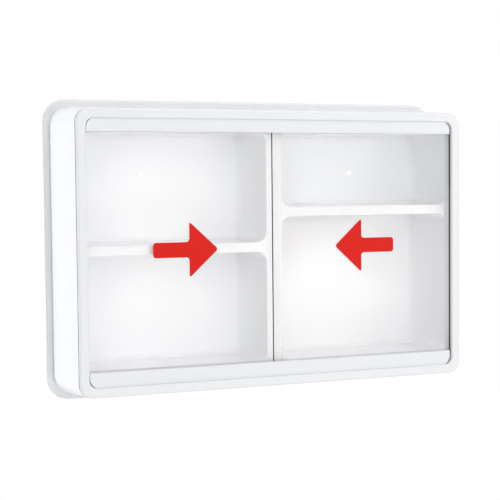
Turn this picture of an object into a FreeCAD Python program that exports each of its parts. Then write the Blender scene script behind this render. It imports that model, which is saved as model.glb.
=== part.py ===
# First aid cabinet for a wall: a flared casing, a front frame, a tray of four pockets and two sliding doors.
# Millimetres. The wall is the plane Y = 0, the front faces -Y and +Z is up.
# The origin lies on the wall, midway between the two wall screws. Each piece is drawn about the middle of
# the cabinet and then moved down, so that this point is at the screws' level.
import FreeCAD, Part
import math
import os
import re
import Sketcher

SIZES = [
    ("rim_width", 380, "rim against the wall, across"),
    ("rim_height", 262, "rim against the wall, upright"),
    ("rim_radius", 20, "corners of the rim"),
    ("rim_thick", 5, "rim, from the wall to its front"),
    ("rim_face", 2, "front wall of the rim"),
    ("rim_lip", 5.5, "rim, out from the casing's side"),
    ("rim_round", 2, "rounded front edge of the rim"),
    ("total_depth", 80, "from the wall to the frame's face"),
    ("casing_wall", 1.8, "side walls of the casing"),
    ("casing_flare", 6.5, "casing, wider at the rim than at the front on each side"),
    ("shadow_gap", 2.2, "gap between the frame's plate and the casing"),
    ("ledge_thick", 2, "ledge inside the casing"),
    ("ledge_fit", 0.3, "ledge, clear of the frame's tunnel"),
    ("frame_width", "=rim_width - 2 * (rim_lip + casing_flare)", "frame, across"),
    ("frame_height", "=rim_height - 2 * (rim_lip + casing_flare)", "frame, upright"),
    ("frame_radius", 11, "outer corners of the frame"),
    ("face_width", 8, "face of the frame beside the opening"),
    ("plate_thick", 2.8, "plate of the frame"),
    ("plate_round", 1.8, "rounded outer edge of the plate"),
    ("opening_bevel", 0.6, "bevelled inner edge of the plate"),
    ("opening_radius", 7, "corners of the opening"),
    ("tunnel_step", 1, "tunnel behind the plate, wider than the opening on each side"),
    ("tunnel_wall", 1.4, "walls of the tunnel"),
    ("front_room", 14, "from the frame's face to the tray"),
    ("flange_thick", 2, "flange of the tray"),
    ("tray_fit", 0.4, "flange of the tray, clear of the casing"),
    ("tray_wall", 2, "walls of the pockets"),
    ("back_thick", 2.4, "back of the pockets"),
    ("divider_width", 14.5, "upright divider between the pockets"),
    ("shelf_thick", 8.5, "shelves between the pockets"),
    ("left_shelf_level", 1, "middle of the left shelf above the cabinet's middle"),
    ("right_shelf_level", 31.5, "middle of the right shelf above the cabinet's middle"),
    ("pocket_overlap", 1.5, "pockets, out past the tunnel at the sides"),
    ("pocket_hide", 2, "pockets, behind the tracks at the top and the bottom"),
    ("pocket_radius", 9, "corners of the pockets"),
    ("pocket_draft", 1.5, "taper of the pockets, degrees"),
    ("floor_round", 6, "rounded corner between the pockets' walls and back"),
    ("mouth_bevel", 0.6, "bevelled mouth of the pockets"),
    ("shell_corner", 5.5, "bevelled corners of the pockets' outsides"),
    ("shell_edge", 4.5, "bevelled rear edges of the pockets' outsides"),
    ("wall_hole", 5, "holes for the wall screws"),
    ("wall_hole_spacing", 206, "between the wall screws"),
    ("wall_hole_level", 66, "wall screws above the cabinet's middle"),
    ("top_track_height", 12, "top door track, upright"),
    ("low_track_height", 13.5, "bottom door track, upright"),
    ("track_end_gap", 2, "gap beyond the ends of the tracks"),
    ("track_corner", 9, "outer corners of the tracks"),
    ("top_groove_depth", 8, "grooves of the top track"),
    ("low_groove_depth", 4, "grooves of the bottom track"),
    ("door_thick", 2.5, "clear doors"),
    ("door_overlap", 10, "overlap of the closed doors"),
    ("door_corner", 2, "corners of the doors"),
    ("slide_clear", 0.3, "room round a door in its groove"),
    ("screw_shank", 2.1, "frame screws"),
    ("screw_length", 10, "frame screws under the head"),
    ("screw_head", 4.4, "heads of the frame screws"),
    ("screw_head_height", 1.6, "heads of the frame screws, from the flange"),
    ("screw_slot", 2.6, "slots for the frame screws"),
    ("screw_spacing", 280, "between the frame screws of one row"),
    ("screw_set", 1.05, "axes of the frame screws, out from the tunnel"),
    ("pilot_clear", 0.2, "pilot bores, wider than the screws"),
    ("pilot_end", 1, "pilot bores, past the screws' ends"),
    ("boss_width", 4.2, "bosses for the frame screws, across"),
]
names = [alias for alias, value, meaning in SIZES]

# Places worked out from the sizes. Distances to the front are from the wall.
tray_front = "(total_depth - front_room)"
plate_rear = "(total_depth - plate_thick)"
casing_front = "(total_depth - plate_thick - shadow_gap)"
ledge_front = "(total_depth - front_room + ledge_thick)"
opening_x = "(frame_width / 2 - face_width)"
opening_z = "(frame_height / 2 - face_width)"
tunnel_x = f"({opening_x} + tunnel_step)"
tunnel_z = f"({opening_z} + tunnel_step)"
flare_depth = f"({casing_front} - rim_thick)"
flare_angle = f"atan(casing_flare / {flare_depth})"
ledge_flare = f"(casing_flare * ({casing_front} - {tray_front}) / {flare_depth})"
draft_angle = "(-pocket_draft * 1 deg)"
screw_z = f"({tunnel_z} + tunnel_wall + screw_set)"
top_edge = f"({tunnel_z} - top_track_height)"
low_edge = f"(low_track_height - {tunnel_z})"
pocket_x = f"({tunnel_x} + pocket_overlap)"
pocket_top = f"({top_edge} + pocket_hide)"
pocket_low = f"({low_edge} - pocket_hide)"
groove = "(door_thick + 2 * slide_clear)"
lip = f"((front_room - plate_thick - 2 * {groove}) / 3)"
front_groove = f"({plate_rear} - {lip})"
rear_groove = f"({plate_rear} - 2 * {lip} - {groove})"

doc = FreeCAD.newDocument("first_aid_cabinet")
sheet = doc.addObject("Spreadsheet::Sheet", "Sizes")
for row, (alias, value, meaning) in enumerate(SIZES, start=1):
    sheet.set(f"A{row}", meaning)
    sheet.set(f"B{row}", str(value))
    sheet.setAlias(f"B{row}", alias)
doc.recompute()


def sheet_name(word):
    """The name of a size as the sheet's, and any other word as it is."""
    return f"Sizes.{word.group()}" if word.group() in names else word.group()


def linked(text):
    """An expression in which each size's name points at the sheet."""
    return re.sub(r"[a-z][a-z_]*", sheet_name, text)


def size(text):
    """The value of an expression of sizes."""
    return float(sheet.evalExpression(linked(text)))


def new_body(name):
    """One piece of the cabinet, drawn about the cabinet's middle and set below the wall screws."""
    body = doc.addObject("PartDesign::Body", name)
    body.Label = name
    body.setExpression("Placement.Base.z", linked("-wall_hole_level"))
    return body


def origin_plane(body, role):
    """One of a piece's own origin planes."""
    return [feature for feature in body.Origin.OriginFeatures if feature.Role == role][0]


def upright_sketch(body, name, distance):
    """A sketch parallel to the wall, a distance in front of it: its axes are X and Z."""
    sketch = body.newObject("Sketcher::SketchObject", name)
    sketch.AttachmentSupport = [(origin_plane(body, "XZ_Plane"), "")]
    sketch.MapMode = "FlatFace"
    sketch.setExpression("AttachmentOffset.Base.z", linked(distance))
    return sketch


def constrain(sketch, kind, geometry, point, text):
    """Ties one coordinate or size of a sketch to an expression."""
    if point is None:
        number = sketch.addConstraint(Sketcher.Constraint(kind, geometry, size(text)))
    else:
        number = sketch.addConstraint(Sketcher.Constraint(kind, geometry, point, size(text)))
    sketch.renameConstraint(number, f"size_{number}")
    sketch.setExpression(f"Constraints.size_{number}", linked(text))


def place_sides(sketch, low, right, high, left, bounds):
    """Ties the four sides of an upright rectangle to its bounds: left, right, low and high."""
    for line in (low, high):
        sketch.addConstraint(Sketcher.Constraint("Horizontal", line))
    for line in (right, left):
        sketch.addConstraint(Sketcher.Constraint("Vertical", line))
    constrain(sketch, "DistanceX", left, 1, bounds[0])
    constrain(sketch, "DistanceX", right, 1, bounds[1])
    constrain(sketch, "DistanceY", low, 1, bounds[2])
    constrain(sketch, "DistanceY", high, 1, bounds[3])


def rectangle(sketch, left, right, low, high):
    """A rectangle with square corners."""
    bounds = (left, right, low, high)
    x0, x1, z0, z1 = (size(text) for text in bounds)
    corners = [FreeCAD.Vector(x, z, 0) for x, z in ((x0, z0), (x1, z0), (x1, z1), (x0, z1))]
    lines = [Part.LineSegment(corners[i], corners[(i + 1) % 4]) for i in range(4)]
    first = sketch.addGeometry(lines, False)[0]
    for i in range(4):
        sketch.addConstraint(Sketcher.Constraint("Coincident", first + i, 2, first + (i + 1) % 4, 1))
    place_sides(sketch, first, first + 1, first + 2, first + 3, bounds)


def rounded(sketch, left, right, low, high, radius):
    """A rectangle whose corners are arcs of one radius."""
    bounds = (left, right, low, high)
    x0, x1, z0, z1 = (size(text) for text in bounds)
    r = size(radius)
    normal = FreeCAD.Vector(0, 0, 1)
    centres = [(x1 - r, z0 + r), (x1 - r, z1 - r), (x0 + r, z1 - r), (x0 + r, z0 + r)]
    sides = [((x0 + r, z0), (x1 - r, z0)), ((x1, z0 + r), (x1, z1 - r)),
             ((x1 - r, z1), (x0 + r, z1)), ((x0, z1 - r), (x0, z0 + r))]
    outline = []
    for quarter in range(4):
        start, end = sides[quarter]
        outline.append(Part.LineSegment(FreeCAD.Vector(*start, 0), FreeCAD.Vector(*end, 0)))
        ring = Part.Circle(FreeCAD.Vector(*centres[quarter], 0), normal, r)
        outline.append(Part.ArcOfCircle(ring, (quarter - 1) * math.pi / 2, quarter * math.pi / 2))
    first = sketch.addGeometry(outline, False)[0]
    for i in range(8):
        sketch.addConstraint(Sketcher.Constraint("Tangent", first + i, 2, first + (i + 1) % 8, 1))
    place_sides(sketch, first, first + 2, first + 4, first + 6, bounds)
    for arc in (3, 5, 7):
        sketch.addConstraint(Sketcher.Constraint("Equal", first + 1, first + arc))
    constrain(sketch, "Radius", first + 1, None, radius)


def centred(sketch, half_x, half_z, radius):
    """A rounded rectangle about the middle of the cabinet."""
    rounded(sketch, f"-{half_x}", half_x, f"-{half_z}", half_z, radius)


def hole_outline(sketch, x, z, diameter):
    """A circle at a place."""
    middle = FreeCAD.Vector(size(x), size(z), 0)
    ring = sketch.addGeometry(Part.Circle(middle, FreeCAD.Vector(0, 0, 1), size(diameter) / 2), False)
    constrain(sketch, "DistanceX", ring, 3, x)
    constrain(sketch, "DistanceY", ring, 3, z)
    constrain(sketch, "Diameter", ring, None, diameter)


def screw_outlines(sketch, diameter):
    """Circles at the places of the four frame screws."""
    for x in ("(-screw_spacing / 2)", "(screw_spacing / 2)"):
        for z in (f"-{screw_z}", screw_z):
            hole_outline(sketch, x, z, diameter)


def screw_blocks(sketch, width, low, high):
    """Rectangles of one width at the four frame screws, between two levels from the middle."""
    for x in ("-screw_spacing / 2", "screw_spacing / 2"):
        for bounds in ((f"-{high}", f"-{low}"), (low, high)):
            rectangle(sketch, f"({x} - {width} / 2)", f"({x} + {width} / 2)", *bounds)


def pad(body, sketch, name, length, backward=False, taper=None):
    """Material along Y from a sketch, to the front, or backward to the wall. A positive taper widens it."""
    feature = body.newObject("PartDesign::Pad", name)
    feature.Profile = sketch
    feature.setExpression("Length", linked(length))
    feature.Reversed = backward
    if taper:
        feature.setExpression("TaperAngle", linked(taper))
    sketch.Visibility = False
    doc.recompute()
    return feature


def pocket(body, sketch, name, length, forward=False, taper=None):
    """A cut along Y from a sketch, to the wall, or forward to the front. It has to remove material."""
    before = body.Shape.Volume
    feature = body.newObject("PartDesign::Pocket", name)
    feature.Profile = sketch
    feature.setExpression("Length", linked(length))
    feature.Reversed = forward
    if taper:
        feature.setExpression("TaperAngle", linked(taper))
    sketch.Visibility = False
    doc.recompute()
    if not feature.Shape.Volume < before - 0.5:
        raise RuntimeError(f"{body.Label}: {name} cuts nothing")
    return feature


def dress(body, kind, name, length, chosen):
    """Rounds or bevels, as a Fillet or a Chamfer, the edges that the test chooses by points along them."""
    base = body.Tip
    numbered = enumerate(base.Shape.Edges, start=1)
    edges = [f"Edge{number}" for number, edge in numbered if chosen(edge.discretize(7))]
    if not edges:
        raise RuntimeError(f"{body.Label}: {name} finds no edge")
    feature = body.newObject(f"PartDesign::{kind}", name)
    feature.Base = (base, edges)
    feature.setExpression("Radius" if kind == "Fillet" else "Size", linked(length))
    doc.recompute()
    return feature


def at_front(points, distance):
    """Whether an edge lies in the plane at a distance in front of the wall."""
    return all(abs(point.y + size(distance)) < 0.01 for point in points)


def inside(points, half_x, half_z):
    """Whether an edge lies within an upright rectangle about the middle."""
    x, z = size(half_x) + 0.01, size(half_z) + 0.01
    return all(abs(point.x) < x and abs(point.z) < z for point in points)


def runs_back(points):
    """Whether an edge runs from the tray's flange to the wall."""
    return abs(points[-1].y - points[0].y) > size(tray_front) / 2


# Casing: flared side walls, a hollow rim against the wall and a ledge inside that the frame and the tray clamp.
casing = new_body("casing")
front = upright_sketch(casing, "casing_front", casing_front)
centred(front, "(frame_width / 2)", "(frame_height / 2)", "frame_radius")
pad(casing, front, "flared_block", flare_depth, backward=True, taper=flare_angle)
outline = upright_sketch(casing, "rim_outline", "0")
centred(outline, "(rim_width / 2)", "(rim_height / 2)", "rim_radius")
pad(casing, outline, "rim", "rim_thick")
front = upright_sketch(casing, "cavity_front", casing_front)
centred(front, "(frame_width / 2 - casing_wall)", "(frame_height / 2 - casing_wall)",
        "(frame_radius - casing_wall)")
pocket(casing, front, "cavity", flare_depth, taper=flare_angle)
mouth = upright_sketch(casing, "rear_mouth", "0")
centred(mouth, "(rim_width / 2 - rim_lip - casing_wall)", "(rim_height / 2 - rim_lip - casing_wall)",
        "(frame_radius + casing_flare - casing_wall)")
pocket(casing, mouth, "mouth", "rim_thick", forward=True)
hollow = upright_sketch(casing, "rim_hollow", "0")
centred(hollow, "(rim_width / 2 - casing_wall)", "(rim_height / 2 - casing_wall)", "(rim_radius - casing_wall)")
pocket(casing, hollow, "hollow_rim", "(rim_thick - rim_face)", forward=True)
ledge = upright_sketch(casing, "ledge_ring", tray_front)
centred(ledge, f"(frame_width / 2 - casing_wall / 2 + {ledge_flare})",
        f"(frame_height / 2 - casing_wall / 2 + {ledge_flare})", "frame_radius")
centred(ledge, f"({tunnel_x} + tunnel_wall + ledge_fit)", f"({tunnel_z} + tunnel_wall + ledge_fit)",
        "(opening_radius + tunnel_step + tunnel_wall + ledge_fit)")
pad(casing, ledge, "ledge", "ledge_thick")
slots = upright_sketch(casing, "ledge_slot_outlines", tray_front)
screw_blocks(slots, "screw_slot", tunnel_z, f"({screw_z} + screw_slot / 2)")
pocket(casing, slots, "ledge_slots", "ledge_thick", forward=True)
dress(casing, "Fillet", "rim_edge", "rim_round", lambda points: at_front(points, "rim_thick")
      and not inside(points, "(rim_width / 2 - rim_lip / 2)", "(rim_height / 2 - rim_lip / 2)"))

# Front frame: a plate with the opening, a tunnel that holds the tracks, and bosses on the tunnel for the screws.
# The plate stands out past the tunnel all round, so that a deep shadow gap runs between it and the casing.
frame = new_body("front_frame")
face = upright_sketch(frame, "plate_ring", plate_rear)
centred(face, "(frame_width / 2)", "(frame_height / 2)", "frame_radius")
centred(face, opening_x, opening_z, "opening_radius")
pad(frame, face, "plate", "plate_thick")
ring = upright_sketch(frame, "tunnel_ring", plate_rear)
centred(ring, f"({tunnel_x} + tunnel_wall)", f"({tunnel_z} + tunnel_wall)",
        "(opening_radius + tunnel_step + tunnel_wall)")
centred(ring, tunnel_x, tunnel_z, "(opening_radius + tunnel_step)")
pad(frame, ring, "tunnel", f"({plate_rear} - {tray_front})", backward=True)
bosses = upright_sketch(frame, "boss_outlines", plate_rear)
screw_blocks(bosses, "boss_width", f"({tunnel_z} + tunnel_wall / 2)", f"({screw_z} + boss_width / 2)")
pad(frame, bosses, "bosses", f"({plate_rear} - {ledge_front})", backward=True)
pilots = upright_sketch(frame, "pilot_outlines", ledge_front)
screw_outlines(pilots, "(screw_shank + pilot_clear)")
pocket(frame, pilots, "pilots", "(screw_length - flange_thick - ledge_thick + pilot_end)", forward=True)
dress(frame, "Fillet", "plate_edge", "plate_round", lambda points: at_front(points, "total_depth")
      and not inside(points, opening_x, opening_z))
dress(frame, "Chamfer", "opening_edge", "opening_bevel", lambda points: at_front(points, "total_depth")
      and inside(points, opening_x, opening_z))

# Compartment tray: a flange with four pockets drawn into it. The divider and the shelves are hollow webs, open
# at the back, and the backs of the pockets stand against the wall.
tray = new_body("compartment_tray")
plate = upright_sketch(tray, "flange_outline", tray_front)
centred(plate, "(frame_width / 2 - casing_wall - tray_fit)", "(frame_height / 2 - casing_wall - tray_fit)",
        "(frame_radius - casing_wall - tray_fit)")
pad(tray, plate, "flange", "flange_thick", backward=True)
sides = {"left": (f"-{pocket_x}", "(-divider_width / 2)"), "right": ("(divider_width / 2)", pocket_x)}
pockets = {}
for side, (left, right) in sides.items():
    pockets[f"upper_{side}"] = (left, right, f"({side}_shelf_level + shelf_thick / 2)", pocket_top)
    pockets[f"lower_{side}"] = (left, right, pocket_low, f"({side}_shelf_level - shelf_thick / 2)")
for name, (left, right, low, high) in pockets.items():
    shell = upright_sketch(tray, f"{name}_shell_outline", tray_front)
    rectangle(shell, f"({left} - tray_wall)", f"({right} + tray_wall)",
              f"({low} - tray_wall)", f"({high} + tray_wall)")
    pad(tray, shell, f"{name}_shell", tray_front, backward=True, taper=draft_angle)
dress(tray, "Chamfer", "shell_corners", "shell_corner", runs_back)
for name, bounds in pockets.items():
    cavity = upright_sketch(tray, f"{name}_outline", tray_front)
    rounded(cavity, *bounds, "pocket_radius")
    pocket(tray, cavity, f"{name}_pocket", f"({tray_front} - back_thick)", taper=draft_angle)
dress(tray, "Fillet", "floor_rounds", "floor_round", lambda points: at_front(points, "back_thick"))
dress(tray, "Chamfer", "shell_edges", "shell_edge", lambda points: at_front(points, "0"))
dress(tray, "Chamfer", "mouth_bevels", "mouth_bevel", lambda points: at_front(points, tray_front)
      and inside(points, pocket_x, tunnel_z))
wall_holes = upright_sketch(tray, "wall_hole_outlines", "0")
for x in ("(-wall_hole_spacing / 2)", "(wall_hole_spacing / 2)"):
    hole_outline(wall_holes, x, "wall_hole_level", "wall_hole")
pocket(tray, wall_holes, "wall_holes", "back_thick", forward=True)
slots = upright_sketch(tray, "flange_slot_outlines", tray_front)
screw_blocks(slots, "screw_slot", f"({screw_z} - screw_slot / 2)", "(frame_height / 2)")
pocket(tray, slots, "flange_slots", "flange_thick")


def track(name, low, high, corner_side, groove_low, groove_high):
    """A strip with two grooves along it. Its outer corners are rounder than the opening's and its ends are short
    of it, so that a dark crevice shows there."""
    body = new_body(name)
    ends = f"({tunnel_x} - track_end_gap)"
    outline = upright_sketch(body, f"{name}_outline", tray_front)
    rectangle(outline, f"-{ends}", ends, low, high)
    pad(body, outline, f"{name}_strip", f"({plate_rear} - {tray_front})")
    dress(body, "Fillet", f"{name}_corners", "track_corner", lambda points: all(
        abs(point.z - size(corner_side)) < 0.01 and abs(abs(point.x) - size(ends)) < 0.01 for point in points))
    for which, place in (("front", front_groove), ("rear", rear_groove)):
        cut = upright_sketch(body, f"{name}_{which}_outline", place)
        rectangle(cut, f"-{tunnel_x}", tunnel_x, groove_low, groove_high)
        pocket(body, cut, f"{name}_{which}_groove", groove)
    return body


# Tracks: the top grooves are deeper than the bottom ones, so that a door can be lifted out.
top_track = track("top_track", top_edge, tunnel_z, tunnel_z, top_edge, f"({top_edge} + top_groove_depth)")
bottom_track = track("bottom_track", f"-{tunnel_z}", low_edge, f"-{tunnel_z}",
                     f"({low_edge} - low_groove_depth)", low_edge)


def door(name, left, right, place):
    """A clear panel that stands in one groove of each track."""
    body = new_body(name)
    outline = upright_sketch(body, f"{name}_outline", f"({place} - slide_clear)")
    rounded(outline, left, right, f"({low_edge} - low_groove_depth + slide_clear)",
            f"({top_edge} + top_groove_depth - low_groove_depth - slide_clear)", "door_corner")
    pad(body, outline, f"{name}_panel", "door_thick", backward=True)
    return body


# Doors: the left one runs in the rear grooves and the right one in the front ones. They overlap in the middle.
left_door = door("left_door", f"(slide_clear - {tunnel_x})", "(door_overlap / 2)", rear_groove)
right_door = door("right_door", "(-door_overlap / 2)", f"({tunnel_x} - slide_clear)", front_groove)

# Frame screws: driven from behind through the tray's flange and the casing's ledge into the frame's bosses.
screws = new_body("frame_screws")
seat = f"({tray_front} - flange_thick)"
shanks = upright_sketch(screws, "shank_outlines", seat)
screw_outlines(shanks, "screw_shank")
pad(screws, shanks, "shanks", "screw_length")
heads = upright_sketch(screws, "head_outlines", seat)
screw_outlines(heads, "screw_head")
pad(screws, heads, "heads", "screw_head_height", backward=True)

# Every feature has to be sound before anything is written.
for item in doc.Objects:
    if "Invalid" in item.State or "Error" in item.State:
        raise RuntimeError(f"{item.Label} failed: {item.State}")
pieces = [item for item in doc.Objects if item.isDerivedFrom("PartDesign::Body")]
for piece in pieces:
    if piece.Shape.isNull() or not piece.Shape.isValid():
        raise RuntimeError(f"{piece.Label} has no sound shape")

os.makedirs("parts", exist_ok=True)
for piece in pieces:
    piece.Shape.exportStep(os.path.join("parts", piece.Label + ".step"))
    box = piece.Shape.BoundBox
    print(f"{piece.Label}: {len(piece.Shape.Solids)} solids, {piece.Shape.Volume / 1000:.1f} cm3, "
          f"{box.XLength:.1f} x {box.YLength:.1f} x {box.ZLength:.1f} mm")
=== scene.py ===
"""First aid cabinet with sliding doors: finishes, door arrows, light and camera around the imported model.

Metres, in the frame of the CAD model: the wall is the plane Y = 0, the front faces -Y and +Z is up.
The origin is on the wall, midway between the two wall screws.
"""
import math

import bpy
import numpy as np
from mathutils import Matrix, Vector


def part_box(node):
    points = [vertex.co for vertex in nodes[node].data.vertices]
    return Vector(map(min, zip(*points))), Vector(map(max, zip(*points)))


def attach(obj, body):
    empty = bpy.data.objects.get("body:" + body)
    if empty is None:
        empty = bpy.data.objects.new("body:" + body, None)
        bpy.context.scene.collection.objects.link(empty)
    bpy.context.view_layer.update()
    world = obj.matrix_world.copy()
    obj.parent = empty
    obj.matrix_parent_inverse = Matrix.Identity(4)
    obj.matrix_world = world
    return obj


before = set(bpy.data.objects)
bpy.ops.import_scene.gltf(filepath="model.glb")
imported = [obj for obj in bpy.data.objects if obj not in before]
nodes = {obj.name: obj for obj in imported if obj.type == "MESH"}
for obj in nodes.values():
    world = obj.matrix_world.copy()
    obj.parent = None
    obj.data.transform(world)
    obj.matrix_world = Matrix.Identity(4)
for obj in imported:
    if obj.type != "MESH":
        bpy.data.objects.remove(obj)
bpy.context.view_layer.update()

MM = 0.001
WHITE = "#FFFFFF"


def linear(hex_colour):
    """An sRGB hex colour as linear red, green and blue with full alpha, by the sRGB curve."""
    channels = [int(hex_colour[i:i + 2], 16) / 255 for i in (1, 3, 5)]
    return [c / 12.92 if c <= 0.04045 else ((c + 0.055) / 1.055) ** 2.4 for c in channels] + [1.0]


def add(tree, kind, settings=None, inputs=None):
    """Adds a node with its settings. An input is a value, or another node's output socket to link from."""
    node = tree.nodes.new(kind)
    for name, value in (settings or {}).items():
        setattr(node, name, value)
    for name, value in (inputs or {}).items():
        if isinstance(value, bpy.types.NodeSocket):
            tree.links.new(value, node.inputs[name])
        else:
            node.inputs[name].default_value = value
    return node


def new_material(name):
    """An empty material, its node tree and its output node."""
    material = bpy.data.materials.new(name)
    material.use_nodes = True
    tree = material.node_tree
    tree.nodes.clear()
    return material, tree, add(tree, "ShaderNodeOutputMaterial")


def new_object(name, data):
    """A new object, linked into the scene."""
    thing = bpy.data.objects.new(name, data)
    bpy.context.scene.collection.objects.link(thing)
    return thing


def per_metre(size_mm):
    """The Scale of a noise texture on Object coordinates whose features are about this size."""
    return 1.0 / (size_mm * MM)


# Finishes. Roughness is a low and a high value, and sizes of a pattern are in millimetres.
PLASTIC_INDEX = 1.59  # polystyrene, and PVC comes near it
MOULDED = {"rough": (0.18, 0.23), "cloud_mm": 60, "peel_mm": 4}
EXTRUDED = {"rough": (0.29, 0.34), "cloud_mm": 40, "peel_mm": 3}
PEEL_HEIGHT = 0.006 * MM
CLOUD_DETAIL, GRAIN_DETAIL = 3.0, 2.0  # how many finer layers a noise texture has
NOISE_LOW, NOISE_HIGH = 0.3, 0.7  # most of a noise texture's values lie between these
FACING = 0.5  # a face whose normal has more than this along Y faces the front or the back
EDGE_REACH = 8 * MM
GAP_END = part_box("casing")[0].y + EDGE_REACH  # the casing's front edge lies before this

PANE_ROUGHNESS = 0.03
EDGE_ROUGHNESS = 0.6
EDGE_INDEX = 1.15  # low, because a matt edge mirrors next to nothing
SAW_MARK_MM = 2.0

FILM_ROUGHNESS = 0.5
FILM_INDEX = 1.4
FILM_GRAIN_MM = 1.2  # coarser than the real grain, which is too fine to show
FILM_GRAIN_HEIGHT = 0.004 * MM

ZINC_CLOUD_MM = 1.0
ZINC_ROUGH = (0.22, 0.4)


def white_plastic(name, light, dark, rough, cloud_mm, peel_mm, scatter_mm=None, gap_shade_tone=None):
    """Glossy white thermoplastic: its colour and gloss drift a little over clouds, and the skin has a faint
    peel. In a thin moulding the light scatters inside over a few millimetres. The casing's front edge, which
    only shows in the narrow gap behind the frame, is painted a darker grey, matched to the gap in the
    photograph: painted shade for the gap's deep shadow."""
    material, tree, output = new_material(name)
    shape = add(tree, "ShaderNodeTexCoord")
    place = shape.outputs["Object"]
    cloud = add(tree, "ShaderNodeTexNoise",
                inputs={"Vector": place, "Scale": per_metre(cloud_mm), "Detail": CLOUD_DETAIL})
    colour = add(tree, "ShaderNodeMix", {"data_type": "RGBA"},
                 {"Factor": cloud.outputs["Fac"], "A": linear(dark), "B": linear(light)})
    # painted shade: front-facing faces of the casing near its front edge, inside the gap behind the frame,
    # turn to a darker grey
    if gap_shade_tone:
        spot = add(tree, "ShaderNodeSeparateXYZ", inputs={"Vector": place})
        near = add(tree, "ShaderNodeMath", {"operation": "LESS_THAN"}, {0: spot.outputs["Y"], 1: GAP_END})
        facing = add(tree, "ShaderNodeSeparateXYZ", inputs={"Vector": shape.outputs["Normal"]})
        front = add(tree, "ShaderNodeMath", {"operation": "LESS_THAN"}, {0: facing.outputs["Y"], 1: -FACING})
        gap = add(tree, "ShaderNodeMath", {"operation": "MULTIPLY"},
                  {0: near.outputs["Value"], 1: front.outputs["Value"]})
        colour = add(tree, "ShaderNodeMix", {"data_type": "RGBA"},
                     {"Factor": gap.outputs["Value"], "A": colour.outputs["Result"], "B": linear(gap_shade_tone)})
    gloss = add(tree, "ShaderNodeMapRange", inputs={
        "Value": cloud.outputs["Fac"], "From Min": NOISE_LOW, "From Max": NOISE_HIGH,
        "To Min": rough[0], "To Max": rough[1]})
    peel = add(tree, "ShaderNodeTexNoise",
               inputs={"Vector": place, "Scale": per_metre(peel_mm), "Detail": GRAIN_DETAIL})
    bump = add(tree, "ShaderNodeBump", inputs={"Height": peel.outputs["Fac"], "Distance": PEEL_HEIGHT})
    skin = add(tree, "ShaderNodeBsdfPrincipled", inputs={
        "Base Color": colour.outputs["Result"], "Roughness": gloss.outputs["Result"], "IOR": PLASTIC_INDEX,
        "Normal": bump.outputs["Normal"]})
    if scatter_mm:
        skin.inputs["Subsurface Weight"].default_value = 1.0
        skin.inputs["Subsurface Radius"].default_value = (1.0, 1.0, 1.0)
        skin.inputs["Subsurface Scale"].default_value = scatter_mm * MM
    tree.links.new(skin.outputs["BSDF"], output.inputs["Surface"])
    return material


def clear_polystyrene(name, edge_dark, edge_light, edge_cover):
    """Clear cast sheet: sight passes straight through and both faces mirror a little, more at a slant. The
    edges have a tone between the two given, which covers what is behind by a share and colours no light;
    a dark edge tone is partly painted shade."""
    material, tree, output = new_material(name)
    shape = add(tree, "ShaderNodeTexCoord")
    facing = add(tree, "ShaderNodeSeparateXYZ", inputs={"Vector": shape.outputs["Normal"]})
    broad = add(tree, "ShaderNodeMath", {"operation": "ABSOLUTE"}, {0: facing.outputs["Y"]})
    edge = add(tree, "ShaderNodeMath", {"operation": "LESS_THAN"}, {0: broad.outputs["Value"], 1: FACING})
    edge = add(tree, "ShaderNodeMath", {"operation": "MULTIPLY"}, {0: edge.outputs["Value"], 1: edge_cover})
    ray = add(tree, "ShaderNodeLightPath")
    edge = add(tree, "ShaderNodeMath", {"operation": "SUBTRACT", "use_clamp": True},
               {0: edge.outputs["Value"], 1: ray.outputs["Is Diffuse Ray"]})
    through = add(tree, "ShaderNodeBsdfTransparent", inputs={"Color": linear(WHITE)})
    gloss = add(tree, "ShaderNodeBsdfGlossy", inputs={"Color": linear(WHITE), "Roughness": PANE_ROUGHNESS})
    # a Fresnel node inverts its index on back faces, so it is inverted there first: both sides mirror alike
    side = add(tree, "ShaderNodeNewGeometry").outputs["Backfacing"]
    index = add(tree, "ShaderNodeMapRange",
                inputs={"Value": side, "To Min": PLASTIC_INDEX, "To Max": 1 / PLASTIC_INDEX})
    mirror = add(tree, "ShaderNodeFresnel", inputs={"IOR": index.outputs["Result"]})
    pane = add(tree, "ShaderNodeMixShader", inputs={
        0: mirror.outputs["Fac"], 1: through.outputs["BSDF"], 2: gloss.outputs["BSDF"]})
    saw = add(tree, "ShaderNodeTexNoise",
              inputs={"Vector": shape.outputs["Object"], "Scale": per_metre(SAW_MARK_MM)})
    tint = add(tree, "ShaderNodeMix", {"data_type": "RGBA"},
               {"Factor": saw.outputs["Fac"], "A": linear(edge_dark), "B": linear(edge_light)})
    sawn = add(tree, "ShaderNodeBsdfPrincipled", inputs={
        "Base Color": tint.outputs["Result"], "Roughness": EDGE_ROUGHNESS, "IOR": EDGE_INDEX})
    whole = add(tree, "ShaderNodeMixShader", inputs={
        0: edge.outputs["Value"], 1: pane.outputs["Shader"], 2: sawn.outputs["BSDF"]})
    tree.links.new(whole.outputs["Shader"], output.inputs["Surface"])
    return material


def red_film(name):
    """Cut vinyl film: an even strong red with a soft sheen and a fine calendered grain."""
    material, tree, output = new_material(name)
    place = add(tree, "ShaderNodeTexCoord").outputs["Object"]
    grain = add(tree, "ShaderNodeTexNoise",
                inputs={"Vector": place, "Scale": per_metre(FILM_GRAIN_MM), "Detail": GRAIN_DETAIL})
    colour = add(tree, "ShaderNodeMix", {"data_type": "RGBA"},
                 {"Factor": grain.outputs["Fac"], "A": linear("#CE1206"), "B": linear("#D81508")})
    bump = add(tree, "ShaderNodeBump", inputs={"Height": grain.outputs["Fac"], "Distance": FILM_GRAIN_HEIGHT})
    skin = add(tree, "ShaderNodeBsdfPrincipled", inputs={
        "Base Color": colour.outputs["Result"], "Roughness": FILM_ROUGHNESS, "IOR": FILM_INDEX,
        "Normal": bump.outputs["Normal"]})
    tree.links.new(skin.outputs["BSDF"], output.inputs["Surface"])
    return material


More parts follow.
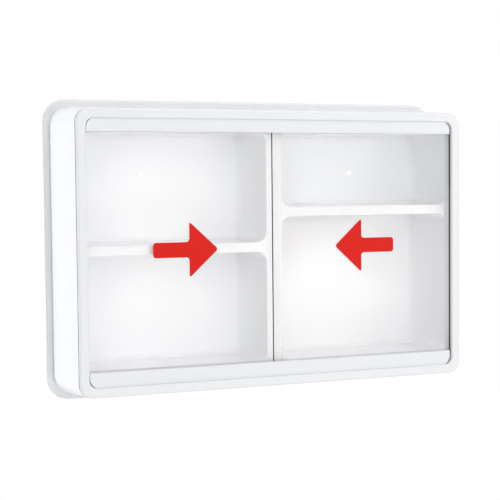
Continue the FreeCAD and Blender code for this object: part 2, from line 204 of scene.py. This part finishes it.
def zinc_plate(name):
    """Bright zinc on steel: a silvery metal with a slightly cloudy gloss."""
    material, tree, output = new_material(name)
    place = add(tree, "ShaderNodeTexCoord").outputs["Object"]
    cloud = add(tree, "ShaderNodeTexNoise",
                inputs={"Vector": place, "Scale": per_metre(ZINC_CLOUD_MM), "Detail": CLOUD_DETAIL})
    gloss = add(tree, "ShaderNodeMapRange", inputs={
        "Value": cloud.outputs["Fac"], "To Min": ZINC_ROUGH[0], "To Max": ZINC_ROUGH[1]})
    metal = add(tree, "ShaderNodeBsdfPrincipled", inputs={
        "Base Color": linear("#C6CACD"), "Metallic": 1.0, "Roughness": gloss.outputs["Result"]})
    tree.links.new(metal.outputs["BSDF"], output.inputs["Surface"])
    return material


def dress(names, material):
    """Gives CAD nodes a finish in place of their plain one."""
    for name in names:
        slots = nodes[name].data.materials
        slots.clear()
        slots.append(material)


# the casing's front edge inside the gap behind the frame gets a darker grey as painted shade
dress(["casing"], white_plastic(
    "moulded_white_polystyrene_painted_gap_shade", "#E6E7E9", "#E5E6E8", **MOULDED, gap_shade_tone="#6E7176"))
dress(["front_frame"], white_plastic("moulded_white_polystyrene", "#E6E7E9", "#E5E6E8", **MOULDED))
# painted light: the tray's white is set much lighter than the same plastic on the casing and frame, which
# makes the inside of the cabinet brighter
dress(["compartment_tray"],
      white_plastic("thin_moulded_white_polystyrene_painted_light", "#FAFBFD", "#F9FAFC", **MOULDED, scatter_mm=2.5))
dress(["top_track", "bottom_track"], white_plastic("extruded_white_pvc", "#E4E5E8", "#E2E3E6", **EXTRUDED))
dress(["left_door"],
      clear_polystyrene("clear_polystyrene_polished_edge", "#D9DDE0", "#E6E9EB", edge_cover=0.15))
# the right door's edges are near black: the edge's own dark look, and painted shade for the shadowed crevice
# between the door and the frame at the jamb
dress(["right_door"],
      clear_polystyrene("clear_polystyrene_sawn_edge_painted_shade", "#0C0D0F", "#1A1C1E", edge_cover=1.0))
dress(["frame_screws"], zinc_plate("zinc_plated_steel"))
for door in ("left_door", "right_door"):
    nodes[door].visible_shadow = False  # clear sheet throws next to no shadow

# Door arrows: cut film on the outer face of each door, pointing the way that the door slides.
ARROW_LENGTH = 58 * MM
ARROW_HEIGHT = 48 * MM
SHAFT_HEIGHT = 13 * MM
HEAD_LENGTH = 26 * MM
CORNER = 3 * MM
FILM_THICK = 0.15 * MM
ARC_STEPS = 8


def arrow_outline():
    """A block arrow that points to +X about the origin, anticlockwise. Each corner is a quadratic curve
    (1 - t)^2 A + 2 t (1 - t) C + t^2 B from A to B, which lie one corner length before and after the
    corner C."""
    tip, tail = ARROW_LENGTH / 2, -ARROW_LENGTH / 2
    neck = tip - HEAD_LENGTH
    wing, shaft = ARROW_HEIGHT / 2, SHAFT_HEIGHT / 2
    corners = np.array([(tail, -shaft), (neck, -shaft), (neck, -wing), (tip, 0),
                        (neck, wing), (neck, shaft), (tail, shaft)])
    before = np.roll(corners, 1, axis=0) - corners
    after = np.roll(corners, -1, axis=0) - corners
    start = corners + CORNER * before / np.linalg.norm(before, axis=1, keepdims=True)
    end = corners + CORNER * after / np.linalg.norm(after, axis=1, keepdims=True)
    t = np.linspace(0, 1, ARC_STEPS)[None, :, None]
    curves = (1 - t) ** 2 * start[:, None] + 2 * t * (1 - t) * corners[:, None] + t ** 2 * end[:, None]
    return curves.reshape(-1, 2)


def film_arrow(name, door, body, direction, material):
    """The outline carried through the film's thickness, from the middle of the door's outer face, with a flat
    cap on each side. The direction is 1 to the right and -1 to the left."""
    low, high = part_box(door)
    outline = arrow_outline() * [direction, 1]
    if direction < 0:
        outline = outline[::-1]  # the mirrored outline runs clockwise
    count = len(outline)
    middle = (np.array(low) + np.array(high)) / 2
    across, upright = middle[0] + outline[:, 0], middle[2] + outline[:, 1]
    rows = [np.column_stack([across, np.full(count, low[1] - lift), upright]) for lift in (0.0, FILM_THICK)]
    i = np.arange(count)
    j = (i + 1) % count
    sides = np.column_stack([i, j, j + count, i + count]).tolist()
    caps = [i[::-1].tolist(), (i + count).tolist()]
    mesh = bpy.data.meshes.new(name)
    mesh.from_pydata(np.concatenate(rows).tolist(), [], sides + caps)
    mesh.materials.append(material)
    piece = new_object(name, mesh)
    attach(piece, body)


film = red_film("red_vinyl_film")
film_arrow("left_door_arrow", "left_door", "left_panel", 1, film)
film_arrow("right_door_arrow", "right_door", "right_panel", -1, film)

# Camera: the photograph's viewpoint, left of the cabinet and a little above its middle. It looks at a point
# in the plane of the frame's front, left of the frame's middle and a little below it.
IMAGE_PIXELS = 500
FOCAL_PIXELS = 1207.7
SENSOR_MM = 36.0
YAW = math.radians(21.13)
PITCH = math.radians(2.89)
ROLL = math.radians(-0.56)
DISTANCE = 1.0342
AIM_X = -28.4 * MM
AIM_DROP = 0.5 * MM
front_low, front_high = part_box("front_frame")
middle_z = (front_low.z + front_high.z) / 2
target = Vector((AIM_X, front_low.y, middle_z - AIM_DROP))
forward = Vector((math.sin(YAW) * math.cos(PITCH), math.cos(YAW) * math.cos(PITCH), -math.sin(PITCH)))
level = Vector((math.cos(YAW), -math.sin(YAW), 0))
upward = level.cross(forward)
right = math.cos(ROLL) * level + math.sin(ROLL) * upward
up = right.cross(forward)
lens = bpy.data.cameras.new("camera")
lens.sensor_width = SENSOR_MM
lens.lens = FOCAL_PIXELS / IMAGE_PIXELS * SENSOR_MM
camera = new_object("camera", lens)
turn = Matrix((right, up, -forward)).transposed().to_4x4()
camera.matrix_world = Matrix.Translation(target - DISTANCE * forward) @ turn
bpy.context.scene.camera = camera


def area_light(name, place, aim, size, power):
    """A square soft lamp at a place, turned to face a point. Its side is in metres and its power in watts.
    Mirror reflections show the white studio in its place."""
    lamp = bpy.data.lights.new(name, "AREA")
    lamp.shape = "SQUARE"
    lamp.size = size
    lamp.energy = power
    holder = new_object(name, lamp)
    holder.location = place
    holder.rotation_euler = (Vector(aim) - Vector(place)).to_track_quat("-Z", "Y").to_euler()
    holder.visible_glossy = False


centre = (0, 0, middle_z)
area_light("front_left", (-1.0, -1.9, 0.2), centre, 1.2, 13.6)
area_light("high_front", (0.2, -1.6, 1.2), centre, 1.0, 9.8)
area_light("low_front", (0.3, -1.5, -1.0), centre, 1.2, 11.0)
area_light("near_right", (0.8, -0.9, 0.2), centre, 0.6, 3.2)
area_light("behind_left", (-1.3, 0.9, 0.0), centre, 0.7, 25.0)
area_light("above", (0.1, -0.04, 1.5), (0.1, -0.04, middle_z), 0.3, 9.0)

# Studio: white where it is seen, mirrored or looked at through the doors, and a plain pale light elsewhere.
SHOWN_STRENGTH = 1.0
FILL_STRENGTH = 0.2
FLOOR_DROP = 1.2  # far below, as under a cabinet that hangs at chest height
FLOOR_HALF = 4.0


def shows_studio(tree):
    """A socket that is 1 for rays from the camera, from a mirror and through a clear pane, otherwise 0."""
    path = add(tree, "ShaderNodeLightPath")
    seen = add(tree, "ShaderNodeMath", {"operation": "MAXIMUM"},
               {0: path.outputs["Is Camera Ray"], 1: path.outputs["Is Transmission Ray"]})
    seen = add(tree, "ShaderNodeMath", {"operation": "MAXIMUM"},
               {0: seen.outputs["Value"], 1: path.outputs["Is Glossy Ray"]})
    return seen.outputs["Value"]


world = bpy.data.worlds.new("studio")
bpy.context.scene.world = world
world.use_nodes = True
sky = world.node_tree
sky.nodes.clear()
shown = add(sky, "ShaderNodeBackground", inputs={"Color": linear(WHITE), "Strength": SHOWN_STRENGTH})
fill = add(sky, "ShaderNodeBackground", inputs={"Color": linear(WHITE), "Strength": FILL_STRENGTH})
both = add(sky, "ShaderNodeMixShader", inputs={
    0: shows_studio(sky), 1: fill.outputs["Background"], 2: shown.outputs["Background"]})
add(sky, "ShaderNodeOutputWorld", inputs={"Surface": both.outputs["Shader"]})


def studio_white(name):
    """Matt white floor paint that is plain white where the camera, a mirror or a clear pane shows it."""
    material, tree, output = new_material(name)
    matt = add(tree, "ShaderNodeBsdfDiffuse", inputs={"Color": linear("#F0F1F2")})
    glow = add(tree, "ShaderNodeEmission", inputs={"Color": linear(WHITE), "Strength": SHOWN_STRENGTH})
    mix = add(tree, "ShaderNodeMixShader", inputs={
        0: shows_studio(tree), 1: matt.outputs["BSDF"], 2: glow.outputs["Emission"]})
    tree.links.new(mix.outputs["Shader"], output.inputs["Surface"])
    return material


floor_corners = [(x * FLOOR_HALF, y * FLOOR_HALF, -FLOOR_DROP)
                 for x, y in ((-1, -1), (1, -1), (1, 1), (-1, 1))]
floor_mesh = bpy.data.meshes.new("floor")
floor_mesh.from_pydata(floor_corners, [], [(0, 1, 2, 3)])
floor_mesh.materials.append(studio_white("studio_floor"))
floor = new_object("floor", floor_mesh)

bpy.context.scene.view_settings.view_transform = "Standard"
